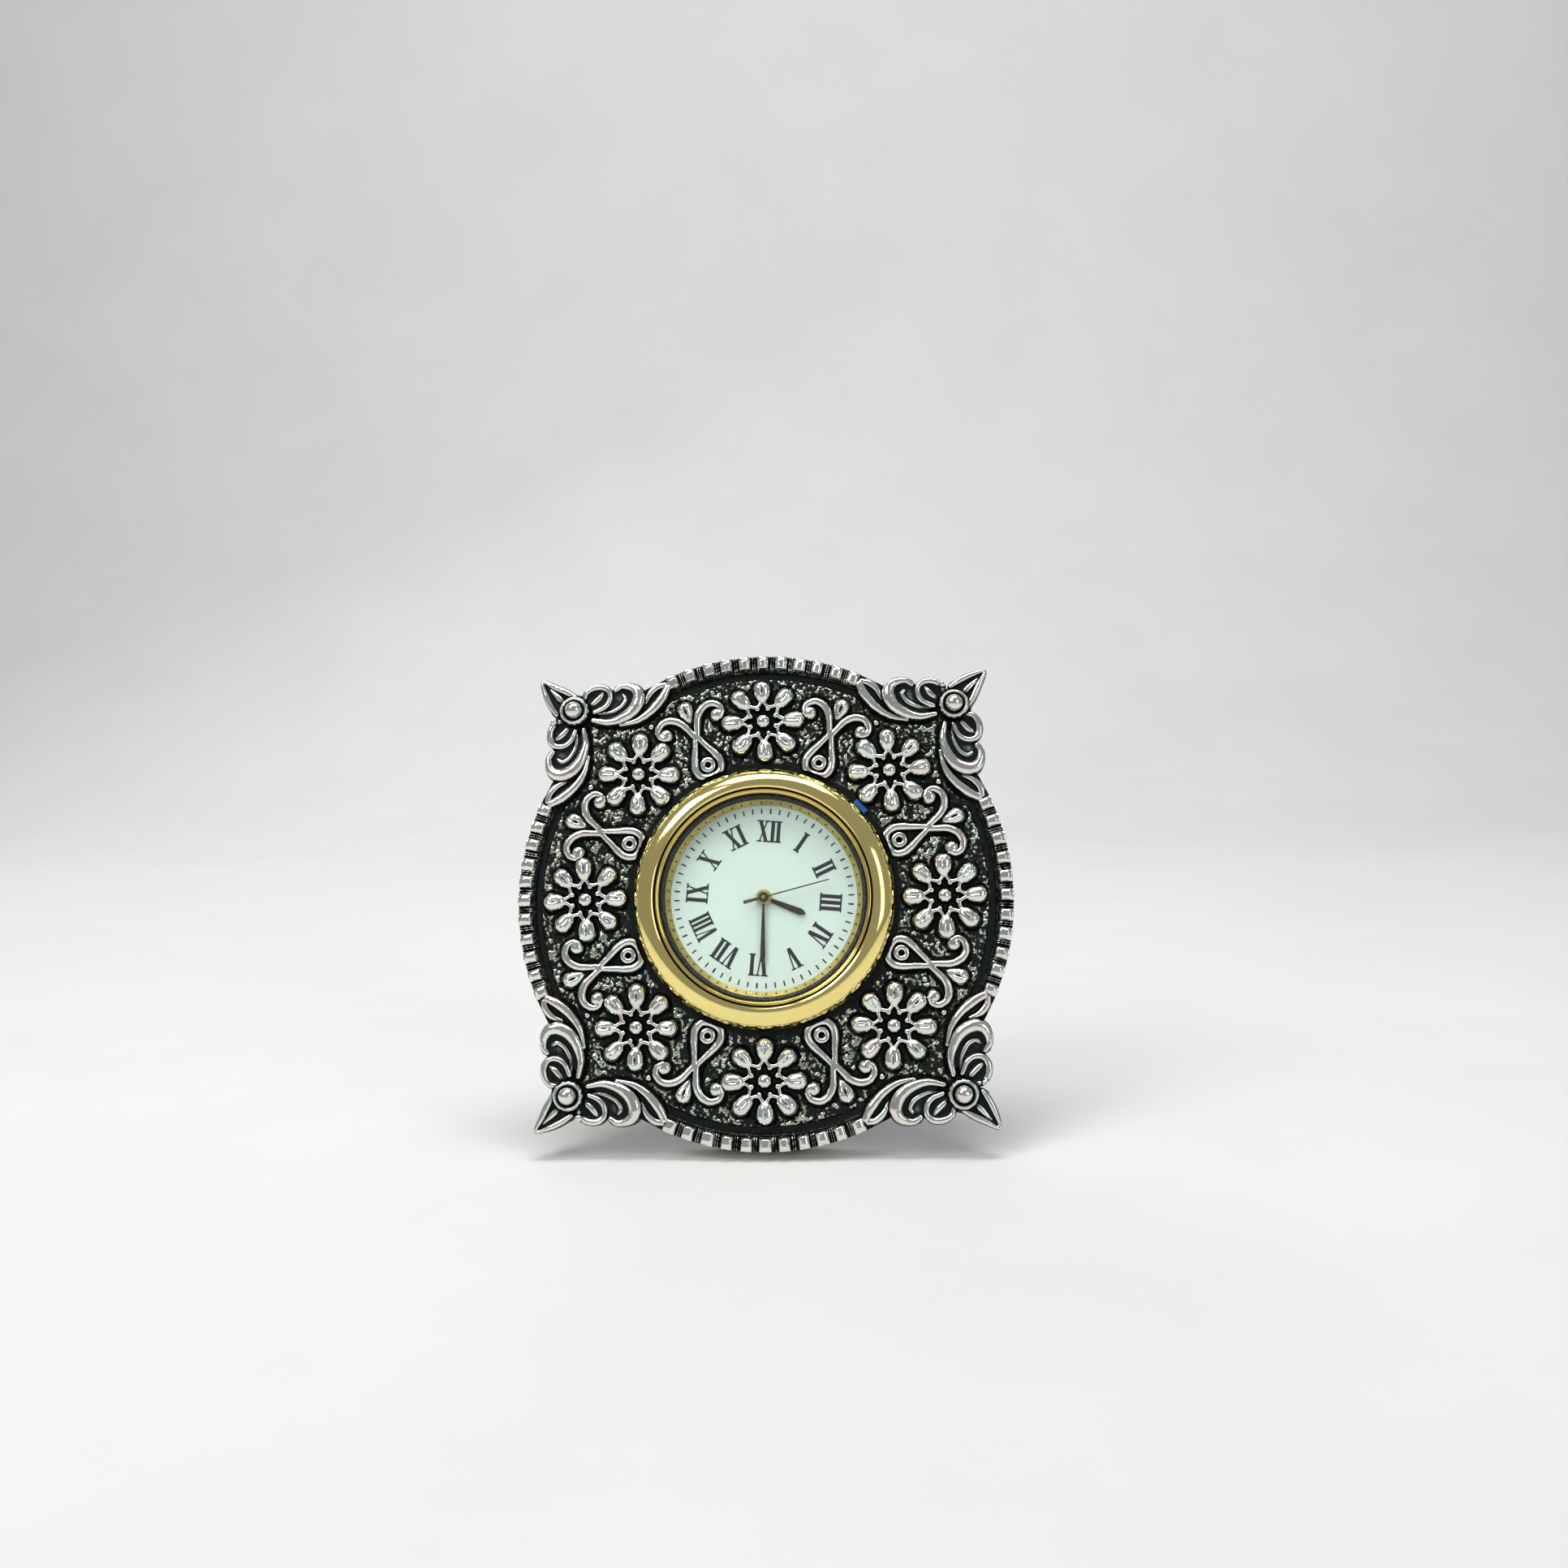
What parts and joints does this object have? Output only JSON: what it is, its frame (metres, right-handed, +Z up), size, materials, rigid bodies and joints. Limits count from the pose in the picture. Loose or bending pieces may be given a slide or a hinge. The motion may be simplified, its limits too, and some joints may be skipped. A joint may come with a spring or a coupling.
{
  "type": "pendulette clock",
  "caption": "Small antique-silver table clock with flower, scroll and leaf relief, a gilt round fit-up quartz clock and a folding wire stand.",
  "frame": {"origin": "middle of the filed flat foot at the bottom of the casting's rim, on the surface that the clock stands on", "axes": "+Z up, +X to the viewer's right along the stand's hinge line, the dial faces -Y and leans back by 15 degrees"},
  "size_m": [0.07, 0.0319, 0.069],
  "materials": {
    "antique_silver": "cast relief with a dark oxide left in the recesses",
    "black_board": "black flocked fibre board",
    "plated_steel": "zinc plated",
    "stand_wire": "bright nickel plated wire",
    "gilt": "polished gilt",
    "crystal_glass": "clear mineral glass",
    "dial_white": "satin white",
    "blue_film": "thin blue sealing ring",
    "black_plastic": "fine moulded black",
    "grip_rubber": "ribbed soft rubber",
    "natural_plastic": "natural moulded plastic",
    "spring_brass": "thin spring strip",
    "soft_iron": "stamped",
    "copper_wire": "fine enamelled winding",
    "green_laminate": "lacquered laminate with a black chip blob",
    "bright_can": "bright nickel",
    "dark_gilt": "dark gilding with blackened edges",
    "wheel_brass": "stamped brass",
    "dark_magnet": "sintered magnet"
  },
  "bodies": {
    "casting": {"front_casting": "antique_silver", "back_board": "black_board", "board_screws": "plated_steel", "stand_lugs": "plated_steel", "lug_rivets": "plated_steel", "stand_pins": "plated_steel"},
    "stand": {"wire_stand": "stand_wire"},
    "clock_unit": {"bezel": "gilt", "crystal": "crystal_glass", "rehaut_ring": "gilt", "dial": "dial_white", "film_ring": "blue_film", "insert_case": "black_plastic", "grip_ring": "grip_rubber", "case_back": "black_plastic", "movement_ring": "natural_plastic", "main_plate": "natural_plastic", "train_bridge": "natural_plastic", "bridge_screws": "plated_steel", "battery_strap": "spring_brass", "stator": "soft_iron", "coil_core": "soft_iron", "coil_winding": "copper_wire", "stator_screws": "plated_steel", "circuit_board": "green_laminate", "quartz_can": "bright_can", "battery": "bright_can"},
    "hatch": {"battery_hatch": "black_plastic"},
    "seconds": {"second_hand": "dark_gilt", "seconds_wheel": "wheel_brass"},
    "third": {"third_wheel": "wheel_brass"},
    "centre": {"centre_gear": "wheel_brass"},
    "fifth": {"fifth_wheel": "wheel_brass"},
    "rotor_body": {"rotor": "dark_magnet"},
    "minutes": {"minute_hand": "dark_gilt", "cannon_pinion": "wheel_brass"},
    "minute_wheel_body": {"minute_wheel": "wheel_brass"},
    "hours": {"hour_hand": "dark_gilt", "hour_wheel": "wheel_brass"},
    "setting": {"setting_stem": "plated_steel", "setting_knob": "black_plastic"}
  },
  "joints": [
    {"name": "stand_fold", "type": "hinge", "parent": "casting", "child": "stand", "pos_m": [0, 0.01574, 0.04635], "axis": [1, 0, 0], "range_deg": [-26, 0]},
    {"name": "clock_pull", "type": "slide", "parent": "casting", "child": "clock_unit", "axis": [0, -0.9659, 0.2588], "range_m": [0, 0.016]},
    {"name": "hatch_turn", "type": "hinge", "parent": "clock_unit", "child": "hatch", "pos_m": [0.00835, 0.00508, 0.03989], "axis": [0, 0.9659, -0.2588], "range_deg": [0, 60]},
    {"name": "second_hand_turn", "type": "hinge", "parent": "clock_unit", "child": "seconds", "pos_m": [0, 0.00378, 0.03506], "axis": [0, 0.9659, -0.2588], "continuous": true},
    {"name": "third_wheel_turn", "type": "hinge", "parent": "clock_unit", "child": "third", "pos_m": [0.00417, 0.00288, 0.03168], "axis": [0, 0.9659, -0.2588], "continuous": true},
    {"name": "centre_wheel_turn", "type": "hinge", "parent": "clock_unit", "child": "centre", "pos_m": [0, 0.00378, 0.03506], "axis": [0, 0.9659, -0.2588], "continuous": true},
    {"name": "fifth_wheel_turn", "type": "hinge", "parent": "clock_unit", "child": "fifth", "pos_m": [-0.00197, 0.00238, 0.02983], "axis": [0, 0.9659, -0.2588], "continuous": true},
    {"name": "rotor_turn", "type": "hinge", "parent": "clock_unit", "child": "rotor_body", "pos_m": [-0.00441, 0.00168, 0.02722], "axis": [0, 0.9659, -0.2588], "continuous": true},
    {"name": "minute_hand_turn", "type": "hinge", "parent": "clock_unit", "child": "minutes", "pos_m": [0, 0.00378, 0.03506], "axis": [0, 0.9659, -0.2588], "continuous": true},
    {"name": "minute_wheel_turn", "type": "hinge", "parent": "clock_unit", "child": "minute_wheel_body", "pos_m": [-0.00416, 0.0044, 0.03738], "axis": [0, 0.9659, -0.2588], "continuous": true},
    {"name": "hour_hand_turn", "type": "hinge", "parent": "clock_unit", "child": "hours", "pos_m": [0, 0.00378, 0.03506], "axis": [0, 0.9659, -0.2588], "continuous": true},
    {"name": "setting_knob_turn", "type": "hinge", "parent": "clock_unit", "child": "setting", "pos_m": [-0.00656, 0.00333, 0.03336], "axis": [0, 0.9659, -0.2588], "continuous": true}
  ],
  "couplings": [
    {"joint": "third_wheel_turn", "follows": "second_hand_turn", "ratio": -0.13333},
    {"joint": "centre_wheel_turn", "follows": "second_hand_turn", "ratio": 0.016667},
    {"joint": "fifth_wheel_turn", "follows": "second_hand_turn", "ratio": -5},
    {"joint": "rotor_turn", "follows": "second_hand_turn", "ratio": 30},
    {"joint": "minute_wheel_turn", "follows": "minute_hand_turn", "ratio": -0.33333},
    {"joint": "hour_hand_turn", "follows": "minute_hand_turn", "ratio": 0.083333},
    {"joint": "setting_knob_turn", "follows": "minute_hand_turn", "ratio": 1}
  ]
}
